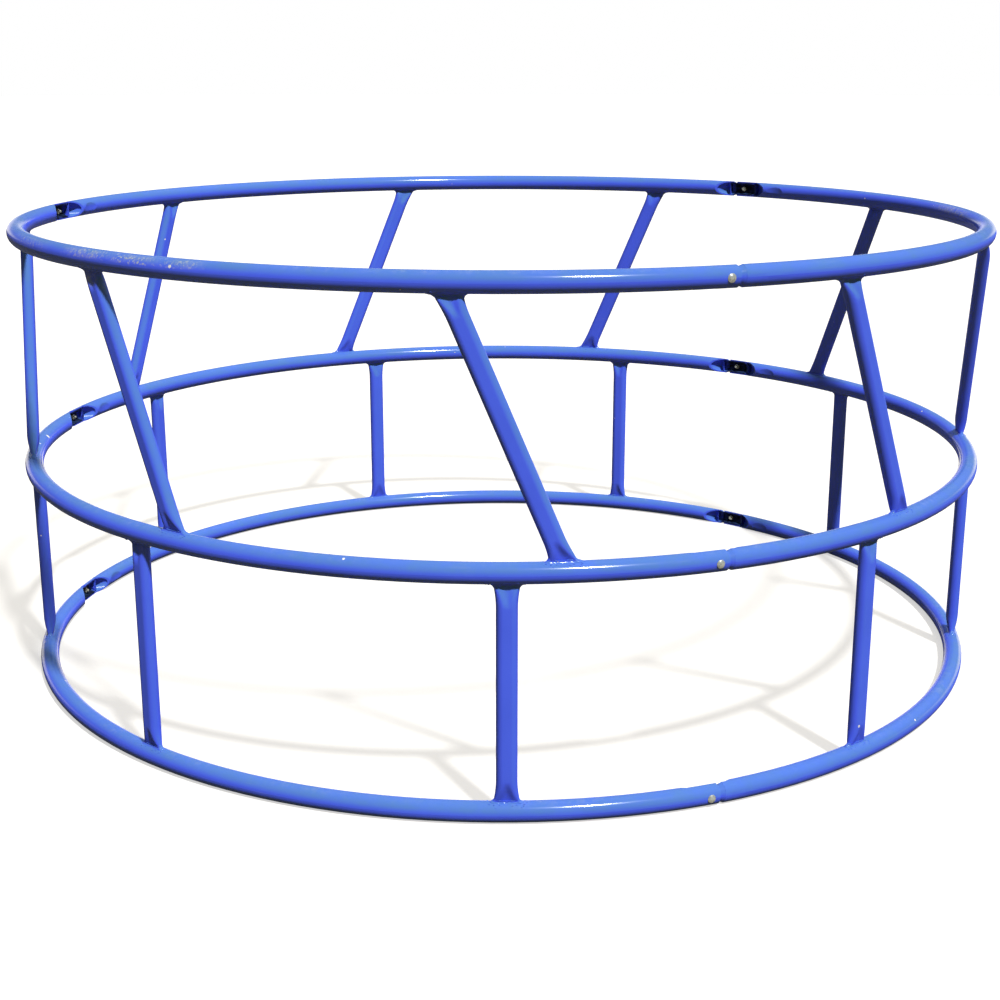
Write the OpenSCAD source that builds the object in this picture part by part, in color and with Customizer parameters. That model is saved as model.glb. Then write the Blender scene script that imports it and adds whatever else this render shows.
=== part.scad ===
// Round bale feeder ring for livestock, standing on its bottom rail with +Z up.
// Three panels of welded steel tube are bolted end to end. Every rail has one cupped end and one
// tongue end, both pressed hollow from the inside, and the tongue nests in the next panel's cup.

/* [Ring] */
// Outside diameter across the rails
ring_d = 2438; // [1900:1:3000]
// Height from the bottom rail to the middle rail, centre to centre
lower_h = 508; // [400:1:650]
// Height from the middle rail to the top rail, centre to centre
upper_h = 565; // [450:1:750]

/* [Rail tube] */
// Outside diameter of the rail tube
rail_d = 44.5; // [42:0.1:51]
// Wall of the rail tube
rail_wall = 1.65; // [1.3:0.05:2]

/* [Bolted joints] */
// Turn of the first joint about the ring, counter-clockwise from above
joint_turn = -68.5; // [-90:0.5:90]
// Length of the cupped end past its bolt
cup_past = 20; // [12:0.5:26]
// Where the dish of the cupped end starts, measured along the rail from its bolt
cup_dish = 90; // [80:1:120]
// Where the dish of the tongue end starts, measured along the rail from its bolt
tongue_dish = 86; // [80:1:130]
// Length along the rail over which a dish sinks to its full depth
dish_ramp = 42; // [35:1:50]
// Room between the tip of the tongue and the ramp of the cup's dish
tip_room = 8; // [4:1:16]
// Bare neck between the end of the cup and the shoulder of the tongue
neck_len = 4; // [2:0.5:8]
// Length of the tapered shoulder of the tongue
shoulder_len = 9; // [6:0.5:12]
// Clearance between the nested ends
nest_gap = 0.3; // [0.2:0.05:0.6]

/* [Carriage bolts and nuts] */
// Diameter of the bolt shank
bolt_d = 7.9; // [6.5:0.1:7.9]
// Width of the square neck under the bolt head
neck_w = 8.3; // [8.3:0.1:10]
// Length of the bolt under its head
bolt_len = 22; // [20:0.5:30]
// Diameter of the domed bolt head
head_d = 18; // [16:0.5:21]
// Height of the domed bolt head
head_h = 4.4; // [3.5:0.1:5.5]
// Width of the nut across its flats
nut_af = 12.7; // [12:0.1:14.5]
// Height of the nut
nut_h = 6.7; // [5.5:0.1:8.5]
// Clearance of the bolt in its holes
bolt_gap = 0.5; // [0.3:0.1:1]

/* [Bars] */
// Diameter of the round tube that the bars are pressed from
bar_d = 38.1; // [35:0.1:41]
// Wall of the bar tube
bar_wall = 1.65; // [1.3:0.05:2]
// Thickness of a bar once pressed to a flat oval
bar_t = 28.5; // [26:0.5:34]
// Thickness of the pinched ends
pinch_t = 9; // [8:0.5:14]
// Length of each pinched end
pinch_len = 50; // [40:1:80]
// Sideways lean of each head bar along the ring, foot to top
head_lean = 219; // [100:1:300]
// Shift of the bars from the middle of their panel towards the tongue end
bar_shift = 7; // [0:1:40]
// Root gap of the welds between bar and rail
root_gap = 0.2; // [0.1:0.05:0.4]

/* [Hidden] */
$fn = 48;
ARC_FN = 240;
PANELS = ["a", "b", "c"];
LEVELS = ["bottom", "middle", "top"];
BARS = [1, 2, 3];
PAINT = "royalblue";
ZINC = "silver";
panel_turn = 360 / len(PANELS);
rail_r = rail_d / 2;
ring_r = ring_d / 2 - rail_r;
LEVEL_Z = [rail_r, rail_r + lower_h, rail_r + lower_h + upper_h];
// Two walls pressed together
fold = 2 * rail_wall;
tongue_r = rail_r - fold - nest_gap;
// The lips of a pressed end lie half a wall inside the centre line
lip_x = -rail_wall / 2;
cup_lip = cup_dish - dish_ramp;
tongue_lip = tongue_dish - dish_ramp;
tongue_past = cup_lip - tip_room;
shoulder_start = cup_past + neck_len;
shoulder_end = shoulder_start + shoulder_len;
// Gap under a bolt head and under a nut
seat_gap = 0.2;
// Gap between the thread of the bolt and the nut, across the diameter
thread_gap = 0.3;
// Slack that lets a cutting shape run past the face that it cuts
slack = 1;
// Run of the shoulder's cone into the tubes that it joins
run_in = 0.5;
// Steps round each end of a flat oval and along each pinched end
OVAL_STEPS = 8;
PINCH_STEPS = 4;

function rail_name(p, l) = str("panel_", p, "_", l, "_rail");
function head_bar_name(p, b) = str("panel_", p, "_head_bar_", b);
function upright_name(p, b) = str("panel_", p, "_upright_", b);

// Turn about the ring for a length along the rail's centre line
function turn(s) = s / ring_r * 180 / PI;
function panel_start(p) = joint_turn + panel_turn * p;
function bar_turn(p, b) = panel_start(p) + panel_turn * (b - 0.5) / len(BARS) - turn(bar_shift);
// Slope of the crease where a dish folds into the tube
crease = atan(rail_r / dish_ramp);

// Frame on the rail's centre line: X outward, Y along the rail, Z up
module on_rail(s) {
  rotate([0, 0, turn(s)])
    translate([ring_r, 0, 0])
      children();
}

// Solid rod of radius r along the rail's centre line
module rod(r, from, to) {
  rotate([0, 0, turn(from)])
    rotate_extrude(angle = turn(to - from), $fn = ARC_FN)
      translate([ring_r, 0])
        circle(r);
}

// Everything on the inner side of the folded lips
module inner_side(from, to) {
  on_rail((from + to) / 2)
    translate([lip_x - rail_d, (from - to) / 2, -rail_d])
      cube([rail_d, to - from, 2 * rail_d]);
}

// Round channel that the wall folds into, twice as steep as the crease
module channel(lip, r) {
  on_rail(lip)
    rotate([0, 0, 2 * crease])
      rotate([-90, 0, 0])
        translate([0, 0, -rail_d])
          cylinder(r = r, h = 4 * rail_d);
}

// The slanted part of a dish, from its start on the inner face to full depth
module dish_ramp_cut(lip) {
  intersection() {
    rod(rail_r - fold, lip, lip + dish_ramp);
    channel(lip, rail_r);
  }
  on_rail(lip)
    translate([lip_x, 0, 0])
      rotate([0, 0, crease])
        translate([-rail_d, 0, -rail_d])
          cube([rail_d, 2 * rail_d, 2 * rail_d]);
}

// Shoulder cone from inside the tongue to inside the full tube, inset by a wall
module shoulder(inset) {
  rise = (rail_r - tongue_r) * run_in / (shoulder_len + 2 * run_in);
  on_rail(shoulder_start)
    rotate([-90, 0, 0])
      translate([0, 0, -run_in])
        cylinder(
          r1 = tongue_r - inset - rise,
          r2 = rail_r - inset - rise,
          h = shoulder_len + 2 * run_in
        );
}

// Outside of the tube at the tongue end, inset by a wall
module tongue_skin(inset, tip, root) {
  rod(tongue_r - inset, tip, shoulder_start + run_in);
  shoulder(inset);
  rod(rail_r - inset, shoulder_end, root);
}

module rail() {
  span = panel_turn / 180 * PI * ring_r;
  color(PAINT)
    difference() {
      tongue_skin(0, -tongue_past, span + cup_past);
      tongue_skin(fold, -tongue_past - slack, tongue_lip);
      inner_side(-tongue_past - slack, tongue_lip);
      dish_ramp_cut(tongue_lip);
      rotate([0, 0, panel_turn])
        mirror([0, 1, 0]) {
          rod(rail_r - fold, -cup_past - slack, cup_lip);
          inner_side(-cup_past - slack, cup_lip);
          dish_ramp_cut(cup_lip);
        }
      difference() {
        rod(rail_r - rail_wall, tongue_lip, span - cup_lip);
        channel(tongue_lip, rail_r + rail_wall);
        rotate([0, 0, panel_turn])
          mirror([0, 1, 0])
            channel(cup_lip, rail_r + rail_wall);
      }
      on_rail(0)
        rotate([0, 90, 0])
          cylinder(d = bolt_d + 2 * bolt_gap, h = 2 * rail_d, center = true);
      on_rail(span)
        cube([2 * rail_d, neck_w + bolt_gap, neck_w + bolt_gap], center = true);
    }
}

// Width of the bar tube once it is pressed to thickness t, at an unchanged girth
function oval_w(t) = (PI * bar_d - (PI - 2) * t) / 2;

// Outline of a flat oval, with its thickness along X and its width along Y
function oval(t, w) = [
  for (side = [1, -1])
    for (i = [0 : OVAL_STEPS])
      let (a = 180 * i / OVAL_STEPS)
      side * [t / 2 * cos(a), (w - t) / 2 + t / 2 * sin(a)]
];

// Outline turned by an angle in its own plane
function turned(p, a) = [p.x * cos(a) - p.y * sin(a), p.x * sin(a) + p.y * cos(a)];

// Cross-section of a bar at a distance up from its lower weld, in the bar's own frame. It lies level and
// follows the rail at the weld, and stands square across the bar where the pinched end is past.
function pinch_section(along, half, lean, twist, inset) =
  let (u = along / pinch_len)
  let (ease = u * (2 - u))
  let (t = pinch_t + (bar_t - pinch_t) * ease)
  let (slope = -lean * (1 - ease))
  let (w = oval_w(t) / cos(slope))
  [
    for (corner = oval(t - 2 * inset, w - 2 * inset))
      let (p = turned(corner, twist * (1 - ease)))
      [p.x, p.y * cos(slope), p.y * sin(slope) + along - half]
  ];

// Outline turned over end for end, with its corners counted the other way to keep their sides
function turned_over(outline) = [
  for (i = [len(outline) - 1 : -1 : 0])
    [outline[i].x, -outline[i].y, -outline[i].z]
];

// Outlines up a whole bar: a pinched end, and the same end turned over at the top
function bar_sections(half, lean, twist, inset) =
  let (
    lower = [
      for (k = [0 : PINCH_STEPS])
        pinch_section(pinch_len * k / PINCH_STEPS, half, lean, twist, inset)
    ]
  )
  concat(lower, [for (k = [PINCH_STEPS : -1 : 0]) turned_over(lower[k])]);

// Walls between one stack of outlines and the next, outward or turned inside out
function walls(first, rows, n, inward) = [
  for (k = [0 : rows - 2])
    for (i = [0 : n - 1])
      let (a = first + k * n + i)
      let (b = first + k * n + (i + 1) % n)
      each inward ? [[a, b + n, a + n], [a, b, b + n]] : [[a, a + n, b + n], [a, b + n, b]]
];

// Rim that closes an outer outline onto an inner one
function rim(outer, inner, n, inward) = [
  for (i = [0 : n - 1])
    let (j = (i + 1) % n)
    each inward
      ? [[outer + i, inner + j, inner + i], [outer + i, outer + j, inner + j]]
      : [[outer + i, inner + i, inner + j], [outer + i, inner + j, outer + j]]
];

// Tube wall lofted through matching outer and inner outlines
module tube_loft(outer, inner) {
  n = len(outer[0]);
  rows = len(outer);
  core = rows * n;
  polyhedron(
    points = [for (row = concat(outer, inner)) each row],
    faces = concat(
      walls(0, rows, n, false),
      walls(core, rows, n, true),
      rim(0, core, n, true),
      rim(core - n, 2 * core - n, n, false)
    )
  );
}

// Bar between two rails whose centres are h apart, leaning along the ring by a set length
module bar(h, lean_len) {
  clear_h = h - rail_d - 2 * root_gap;
  lean = atan(lean_len / clear_h);
  twist = asin(lean_len / 2 / ring_r);
  half = clear_h / cos(lean) / 2;
  color(PAINT)
    translate([ring_r * cos(twist), 0, h / 2])
      rotate([lean, 0, 0])
        tube_loft(
          bar_sections(half, lean, twist, 0),
          bar_sections(half, lean, twist, bar_wall)
        );
}

// Places its child at every bolted joint
module at_joints() {
  for (p = [0 : len(PANELS) - 1])
    for (z = LEVEL_Z)
      rotate([0, 0, panel_start(p)])
        translate([ring_r, 0, z])
          children();
}

// Bolt from outside: domed head on the cup, square neck in the cup's wall, shank through the tongue
module carriage_bolts() {
  dome_r = (head_d * head_d / 4 + head_h * head_h) / (2 * head_h);
  color(ZINC)
    at_joints()
      translate([rail_r + seat_gap, 0, 0])
        rotate([0, 90, 0]) {
          rotate_extrude() {
            intersection() {
              translate([0, head_h - dome_r])
                circle(dome_r);
              square(head_d);
            }
            translate([0, -bolt_len])
              square([bolt_d / 2, bolt_len + slack]);
          }
          translate([-neck_w / 2, -neck_w / 2, -fold])
            cube([neck_w, neck_w, fold + slack]);
        }
}

// Nuts bear on the sides of the tongue's trough
module hex_nuts() {
  trough_r = tongue_r - fold;
  nut_seat = sqrt(trough_r * trough_r - nut_af * nut_af / 4) - seat_gap;
  color(ZINC)
    at_joints()
      translate([nut_seat, 0, 0])
        rotate([0, -90, 0])
          rotate([0, 0, 30])
            difference() {
              cylinder(d = nut_af / cos(30), h = nut_h, $fn = 6);
              translate([0, 0, -slack])
                cylinder(d = bolt_d + thread_gap, h = nut_h + 2 * slack);
            }
}

for (p = [0 : len(PANELS) - 1]) {
  for (l = [0 : len(LEVELS) - 1])
    rotate([0, 0, panel_start(p)])
        translate([0, 0, LEVEL_Z[l]])
          rail();
  for (b = BARS) {
    rotate([0, 0, bar_turn(p, b)])
        translate([0, 0, LEVEL_Z[1]])
          bar(upper_h, head_lean);
    rotate([0, 0, bar_turn(p, b)])
        translate([0, 0, LEVEL_Z[0]])
          bar(lower_h, 0);
  }
}
carriage_bolts();
hex_nuts();
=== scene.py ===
import math
from functools import reduce

import bmesh
import bpy
from bpy.props import FloatProperty, FloatVectorProperty, IntProperty, PointerProperty
from mathutils import Matrix, Vector


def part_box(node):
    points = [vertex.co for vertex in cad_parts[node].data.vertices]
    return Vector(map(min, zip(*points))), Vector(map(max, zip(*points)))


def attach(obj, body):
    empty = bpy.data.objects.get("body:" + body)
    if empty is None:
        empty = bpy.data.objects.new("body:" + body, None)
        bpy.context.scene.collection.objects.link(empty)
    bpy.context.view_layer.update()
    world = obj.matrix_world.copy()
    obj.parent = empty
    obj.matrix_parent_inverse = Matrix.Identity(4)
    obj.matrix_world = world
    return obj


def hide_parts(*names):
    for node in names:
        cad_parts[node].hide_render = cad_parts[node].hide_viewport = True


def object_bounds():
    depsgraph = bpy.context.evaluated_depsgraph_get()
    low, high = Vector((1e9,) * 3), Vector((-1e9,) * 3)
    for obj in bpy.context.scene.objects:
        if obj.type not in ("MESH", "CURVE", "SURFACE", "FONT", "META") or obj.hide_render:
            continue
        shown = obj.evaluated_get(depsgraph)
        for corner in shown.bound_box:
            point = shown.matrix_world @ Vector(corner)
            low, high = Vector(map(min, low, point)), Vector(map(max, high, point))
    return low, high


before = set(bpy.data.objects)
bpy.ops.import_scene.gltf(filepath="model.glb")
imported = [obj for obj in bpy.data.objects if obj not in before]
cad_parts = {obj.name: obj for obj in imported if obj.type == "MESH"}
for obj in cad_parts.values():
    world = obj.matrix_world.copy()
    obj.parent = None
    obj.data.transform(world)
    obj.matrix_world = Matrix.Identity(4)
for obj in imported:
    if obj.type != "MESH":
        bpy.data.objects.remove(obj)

bl_info = {
    "name": "Round Bale Feeder Ring",
    "version": (1, 0, 0),
    "blender": (4, 5, 0),
    "location": "View3D > Sidebar > Feeder",
    "description": "Dresses the packed feeder ring: bars, weld beads, bolts, paint and studio",
    "category": "Object",
}

CAD_LOW, CAD_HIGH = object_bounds()
PANELS = "abc"
LEVELS = ("bottom", "middle", "top")
BARS = (1, 2, 3)
# Turn of one panel round the ring
PANEL_TURN = math.radians(120)
PAINT_SLOT = "blue_paint"
ZINC_SLOT = "zinc"

RAIL_LOW, RAIL_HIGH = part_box("panel_a_bottom_rail")
MIDDLE_LOW, MIDDLE_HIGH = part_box("panel_a_middle_rail")
TOP_LOW, TOP_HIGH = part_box("panel_a_top_rail")
# Lowest and highest corners of one rail at each level
RAIL_BOXES = ((RAIL_LOW, RAIL_HIGH), (MIDDLE_LOW, MIDDLE_HIGH), (TOP_LOW, TOP_HIGH))
RAIL_D = RAIL_HIGH.z - RAIL_LOW.z
RING_D = CAD_HIGH.x - CAD_LOW.x


# Sizes and colours that a user would change


class FeederSizes(bpy.types.PropertyGroup):
    """Sizes of the dressed pieces, in metres."""

    joint_turn: FloatProperty(
        name="First joint", description="Turn of the first bolted joint about the ring",
        default=math.radians(-68.5), subtype="ANGLE")
    bar_d: FloatProperty(
        name="Bar tube", description="Diameter of the round tube that the bars are pressed from",
        default=0.0381, unit="LENGTH")
    bar_t: FloatProperty(
        name="Bar thickness", description="Thickness of a bar once pressed to a flat oval",
        default=0.0285, unit="LENGTH")
    pinch_t: FloatProperty(
        name="Pinched end", description="Thickness of the pinched bar ends",
        default=0.009, unit="LENGTH")
    pinch_len: FloatProperty(
        name="Pinch length", description="Length of each pinched end",
        default=0.05, unit="LENGTH")
    dimple: FloatProperty(
        name="Pinch dimple", description="Depth of the dimple in each face of a pinched end",
        default=0.0036, unit="LENGTH")
    head_lean: FloatProperty(
        name="Head bar lean", description="Sideways lean of a head bar along the ring",
        default=0.219, unit="LENGTH")
    bar_shift: FloatProperty(
        name="Bar shift", description="Shift of the bars along the rail from their even places",
        default=0.007, unit="LENGTH")
    root_gap: FloatProperty(
        name="Root gap", description="Gap between bar end and rail under the weld",
        default=0.0002, unit="LENGTH")
    weld_leg: FloatProperty(
        name="Weld leg", description="Leg of the weld bead at the edges of each bar end",
        default=0.0075, unit="LENGTH")
    weld_lump: FloatProperty(
        name="Weld lumps", description="Height of the lumps along a weld bead",
        default=0.0024, unit="LENGTH")
    head_d: FloatProperty(
        name="Bolt head", description="Diameter of the domed bolt head",
        default=0.018, unit="LENGTH")
    head_h: FloatProperty(
        name="Bolt head height", description="Height of the domed bolt head",
        default=0.0044, unit="LENGTH")
    bolt_d: FloatProperty(
        name="Bolt shank", description="Diameter of the bolt shank over its thread",
        default=0.0079, unit="LENGTH")
    bolt_len: FloatProperty(
        name="Bolt length", description="Length of the bolt under its head",
        default=0.022, unit="LENGTH")
    neck_w: FloatProperty(
        name="Bolt neck", description="Width of the square neck under the bolt head",
        default=0.0083, unit="LENGTH")
    neck_h: FloatProperty(
        name="Bolt neck height", description="Height of the square neck",
        default=0.0033, unit="LENGTH")
    pitch: FloatProperty(
        name="Thread pitch", description="Pitch of the bolt thread",
        default=0.001411, unit="LENGTH")
    nut_af: FloatProperty(
        name="Nut width", description="Width of the hex nut across its flats",
        default=0.0127, unit="LENGTH")
    nut_h: FloatProperty(
        name="Nut height", description="Height of the hex nut",
        default=0.0067, unit="LENGTH")
    seat_gap: FloatProperty(
        name="Seat gap", description="Gap under a bolt head and under a nut",
        default=0.0002, unit="LENGTH")
    trough_r: FloatProperty(
        name="Trough radius", description="Inside radius of the trough that a nut sits in",
        default=0.01535, unit="LENGTH")
    ring_corners: IntProperty(
        name="Tube corners", description="Corners round each pressed bar", default=56)
    pinch_rows: IntProperty(
        name="Pinch rows", description="Rings along each pinched end", default=20)


class FeederFinish(bpy.types.PropertyGroup):
    """Colours of the paint, its wear, its painted light and shade, the zinc and the studio."""

    paint: FloatVectorProperty(
        name="Paint", description="Blue powder coat", subtype="COLOR",
        default=(0.065, 0.115, 0.87))
    paint_deep: FloatVectorProperty(
        name="Thick paint", description="Powder coat where it lies thick", subtype="COLOR",
        default=(0.058, 0.104, 0.80))
    # Paler blue for faces turned to the key light: painted light, not a colour of the paint itself
    sunlit_paint: FloatVectorProperty(
        name="Faded paint", description="Paint bleached by the sun", subtype="COLOR",
        default=(0.070, 0.168, 0.45))
    dust: FloatVectorProperty(
        name="Dust", description="Dry dust on the upper sides", subtype="COLOR",
        default=(0.43, 0.45, 0.34))
    # Near-black of the dishes round the bolts: painted shade of the recesses, with some dirt
    soil_and_shade: FloatVectorProperty(
        name="Soil", description="Dark dirt that gathers in the dishes", subtype="COLOR",
        default=(0.005, 0.006, 0.012))
    primer: FloatVectorProperty(
        name="Bare steel", description="Steel and primer under a chip", subtype="COLOR",
        default=(0.62, 0.63, 0.62))
    zinc: FloatVectorProperty(
        name="Zinc", description="Weathered zinc of the bolts and nuts", subtype="COLOR",
        default=(0.33, 0.35, 0.33))
    grime: FloatVectorProperty(
        name="Grime", description="Dark smudges on the zinc", subtype="COLOR",
        default=(0.10, 0.11, 0.10))
    floor: FloatVectorProperty(
        name="Floor", description="Pale studio floor", subtype="COLOR",
        default=(0.96, 0.94, 0.90))


def sizes():
    return bpy.context.scene.feeder_sizes


def finish():
    return bpy.context.scene.feeder_finish


def ring_r():
    """Radius of the ring at the middle of its rails."""
    return (RING_D - RAIL_D) / 2


def rail_z(level):
    """Height of a rail's middle."""
    low, high = RAIL_BOXES[level]
    return (low.z + high.z) / 2


def bar_turn(panel, bar):
    """Turn of a bar about the ring."""
    s = sizes()
    start = s.joint_turn + PANEL_TURN * panel
    return start + PANEL_TURN / len(BARS) * (bar - 0.5) - s.bar_shift / ring_r()


# Working in edit mode


def start_piece(name):
    """Names the new primitive, settles its place into its mesh and opens it for editing."""
    piece = bpy.context.object
    piece.name = piece.data.name = name
    bpy.ops.object.transform_apply(location=True, rotation=True, scale=True)
    bpy.ops.object.mode_set(mode="EDIT")
    return piece


def pick(test):
    """Selects the vertices that pass a test, with the edges and faces between them."""
    mesh = bpy.context.object.data
    b = bmesh.from_edit_mesh(mesh)
    bpy.ops.mesh.select_mode(type="VERT")
    for v in b.verts:
        v.select_set(bool(test(v)))
    b.select_flush_mode()
    bmesh.update_edit_mesh(mesh)


def corner_count():
    """Number of corners in the piece that is open."""
    return len(bmesh.from_edit_mesh(bpy.context.object.data).verts)


def extrude(step):
    bpy.ops.mesh.extrude_region_move(TRANSFORM_OT_translate={"value": step})


def resize(value, centre):
    bpy.ops.transform.resize(value=value, center_override=centre)


def move(value):
    bpy.ops.transform.translate(value=value)


def rotate(angle, axis, centre=(0, 0, 0)):
    """Turns the selection counter-clockwise. Without a window the operator turns the other way."""
    bpy.ops.transform.rotate(value=-angle, orient_axis=axis, center_override=centre)


def end_piece(shade=40):
    """Closes edit mode with normals outward, smooth where faces meet below an angle in degrees."""
    bpy.ops.mesh.select_all(action="SELECT")
    bpy.ops.mesh.normals_make_consistent(inside=False)
    bpy.ops.object.mode_set(mode="OBJECT")
    bpy.ops.object.shade_smooth_by_angle(angle=math.radians(shade))
    return bpy.context.object


def only(*pieces):
    """Selects these objects alone, with the first one active."""
    if bpy.context.object and bpy.context.object.mode != "OBJECT":
        bpy.ops.object.mode_set(mode="OBJECT")
    bpy.ops.object.select_all(action="DESELECT")
    for piece in pieces:
        piece.select_set(True)
    bpy.context.view_layer.objects.active = pieces[0] if pieces else None


def settle(piece, matrix):
    """Puts a piece at a place and works the place into its mesh."""
    only(piece)
    piece.matrix_world = matrix @ piece.matrix_world
    bpy.ops.object.transform_apply(location=True, rotation=True, scale=True)


def copy_of(piece, name, matrix):
    """A copy with its own mesh, at a place."""
    only(piece)
    bpy.ops.object.duplicate(linked=False)
    copy = bpy.context.object
    copy.name = copy.data.name = name
    settle(copy, matrix)
    return copy


def joined(pieces, name):
    """Joins pieces into one."""
    only(*pieces)
    bpy.ops.object.join()
    whole = bpy.context.object
    whole.name = whole.data.name = name
    return whole


def apply_modifier(piece, kind, **settings):
    """Gives a piece a modifier and works it into the mesh."""
    only(piece)
    m = piece.modifiers.new(kind.lower(), kind)
    for key, value in settings.items():
        setattr(m, key, value)
    bpy.ops.object.modifier_apply(modifier=m.name)


def drop(piece):
    only(piece)
    bpy.ops.object.delete()


def dress(piece, material, slot, *nodes):
    """Gives a piece its finish and its body, and the nodes that it stands for."""
    piece.data.materials.clear()
    piece.data.materials.append(material)
    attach(piece, "root")
    if nodes:
        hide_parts(*nodes)


# Finishes


class Wire:
    """A socket whose arithmetic adds Math nodes."""

    def __init__(self, finish_tree, socket):
        self.tree = finish_tree
        self.socket = socket

    def math(self, operation, *others):
        return self.tree.node(
            "ShaderNodeMath", {"operation": operation}, dict(enumerate((self, *others))))

    def __add__(self, other):
        return self.math("ADD", other)

    __radd__ = __add__

    def __sub__(self, other):
        return self.math("SUBTRACT", other)

    def __rsub__(self, other):
        return self.tree.node("ShaderNodeMath", {"operation": "SUBTRACT"}, {0: other, 1: self})

    def __mul__(self, other):
        return self.math("MULTIPLY", other)

    __rmul__ = __mul__

    def __truediv__(self, other):
        return self.math("DIVIDE", other)

    def over(self, low, high):
        """0 below low and 1 above high, with a smooth step between. High may be the lower one."""
        return self.tree.node(
            "ShaderNodeMapRange", {"interpolation_type": "SMOOTHSTEP"},
            {"Value": self, "From Min": low, "From Max": high})


def greatest(*wires):
    return reduce(lambda a, b: a.math("MAXIMUM", b), wires)


def least(*wires):
    return reduce(lambda a, b: a.math("MINIMUM", b), wires)


class Finish:
    """A material's node tree."""

    def __init__(self, name):
        self.material = bpy.data.materials.new(name)
        self.material.use_nodes = True
        self.tree = self.material.node_tree
        self.shader = self.tree.nodes["Principled BSDF"]
        self.place = self.node("ShaderNodeTexCoord", out="Object")

    @classmethod
    def over_tree(cls, tree):
        """The same helpers on a node tree that exists."""
        f = cls.__new__(cls)
        f.tree = tree
        return f

    def feed(self, socket, value):
        """Links a wire to a socket, or sets the socket's own value."""
        if isinstance(value, Wire):
            self.tree.links.new(value.socket, socket)
        else:
            socket.default_value = value

    def node(self, kind, settings=None, inputs=None, out=0):
        """Adds a node with its settings, values and links. Returns one output, or several."""
        n = self.tree.nodes.new(kind)
        for key, value in (settings or {}).items():
            setattr(n, key, value)
        for key, value in (inputs or {}).items():
            self.feed(n.inputs[key], value)
        if isinstance(out, tuple):
            return [Wire(self, n.outputs[key]) for key in out]
        return Wire(self, n.outputs[out])

    def noise(self, vector, scale, detail, roughness):
        return self.node(
            "ShaderNodeTexNoise", {},
            {"Vector": vector, "Scale": scale, "Detail": detail, "Roughness": roughness})

    def measure(self, operation, vector, other):
        """One number from two vectors, such as their distance."""
        return self.node(
            "ShaderNodeVectorMath", {"operation": operation}, {0: vector, 1: other}, out="Value")

    def mix(self, factor, a, b):
        """Colour a where the factor is 0 and b where it is 1."""
        a, b = (c if isinstance(c, Wire) else (*c, 1.0) for c in (a, b))
        return self.node("ShaderNodeMix", {"data_type": "RGBA"}, {0: factor, 6: a, 7: b}, out=2)

    def bump(self, height, strength, distance, **inputs):
        return self.node(
            "ShaderNodeBump", {},
            {"Strength": strength, "Distance": distance, "Height": height, **inputs})

    def set(self, **values):
        for name, value in values.items():
            self.feed(self.shader.inputs[name.replace("_", " ")], value)


# Scale, detail and roughness of the noise in each pattern of the paint
CLOUDS = (5.0, 4.0, 0.55)
SUNLIT_PATCHES = (14.0, 5.0, 0.65)
DUST_GRAIN = (60.0, 6.0, 0.70)
DUST_DRIFTS = (3.2, 2.0, 0.55)
STREAKS = (1.0, 5.0, 0.60)
STREAK_PATCHES = (7.0, 2.0, 0.55)
SPECKS = (150.0, 5.0, 0.75)
HAZE = (26.0, 4.0, 0.65)
CHIP_EDGE = (420.0, 3.0, 0.55)
MARK_EDGE = (260.0, 2.0, 0.55)
SHADE_AND_DIRT_EDGE = (45.0, 3.0, 0.55)
SHADE_AND_DIRT_GRAIN = (60.0, 4.0, 0.60)
PEEL = (750.0, 2.0, 0.55)
RIPPLE = (95.0, 2.0, 0.55)
# The same for the zinc
MOTTLE = (420.0, 4.0, 0.55)
SMUDGES = (170.0, 4.0, 0.60)
ZINC_GRAIN = (2200.0, 2.0, 0.55)
# Streaks are drawn out along the rails: their scale along the ring and across the tube
STREAK_LONG, STREAK_FINE = 9.0, 220.0
# Side that the key light comes from, and how squarely a face meets it where the painted paleness
# of lit faces starts and is full
SUN_SIDE = (0.269, -0.506, 0.819)
SUNLIT_RISE = (0.42, 0.86)
# How level a face is where dust starts to lie and lies thick
DUST_RISE = (0.55, 1.0)
# The same at the lower and the upper edge of the rubbed band on a rail
RUB_RISE, RUB_FALL = (0.10, 0.40), (1.0, 0.86)
# The same where the gloss starts and is full
GLOSS_RISE = (0.28, 0.52)
# How much each kind of wear, and the dirt with painted shade in the dishes, covers at most
DUST_COVER, HAZE_COVER, HAIRLINE_COVER, SHADE_AND_DIRT_COVER = 0.16, 0.24, 0.10, 0.97
# Cells of paint to a metre, the share of them that stay whole, and a chip's least size and growth
CHIP_CELLS = 24.0
CHIP_CHANCE = (0.80, 0.84)
CHIP_SIZE, CHIP_GROWTH = 0.02, 0.06
# How far inside the round of the tube the painted shade and dirt in a dish start and are thick
DISH_DEPTH = (0.0010, 0.0045)
# How far outward a face of the dish may look at the thin and the thick edge of the painted shade
# and dirt
DISH_SIDE = (0.30, -0.10)
# How far from the bolt the painted shade and dirt in a dish end and are thick, and how ragged
# their end is
SHADE_AND_DIRT_REACH = (0.050, 0.030)
SHADE_AND_DIRT_RAGGED = 0.02
# Mark of the press: its middle along the rail from the bolt, half length, half height and depth
PRESS_AT, PRESS_LONG, PRESS_HIGH, PRESS_DEEP = 0.132, 0.030, 0.0130, 0.0042
# Rubbed places on the paint: centre, reach and strength
SCUFFS = (
    ((-1.13, -0.37, 1.112), 0.16, 0.45),
    ((-1.01, -0.64, 1.112), 0.16, 0.55),
    ((-0.84, -0.87, 1.105), 0.11, 0.90),
    ((-0.72, -0.97, 1.105), 0.10, 1.00),
    ((-0.61, -1.04, 1.105), 0.08, 0.80),
    ((1.190, 0.08, 1.112), 0.17, 1.00),
)
# Single chips: centre and reach
CHIPS = (
    ((-1.1745, -0.1235, 0.5465), 0.0060),
    ((-1.168, -0.22, 0.548), 0.004),
    ((0.335, -1.166, 0.536), 0.003),
    ((-0.634, -1.040, 1.1033), 0.004),
)


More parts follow.
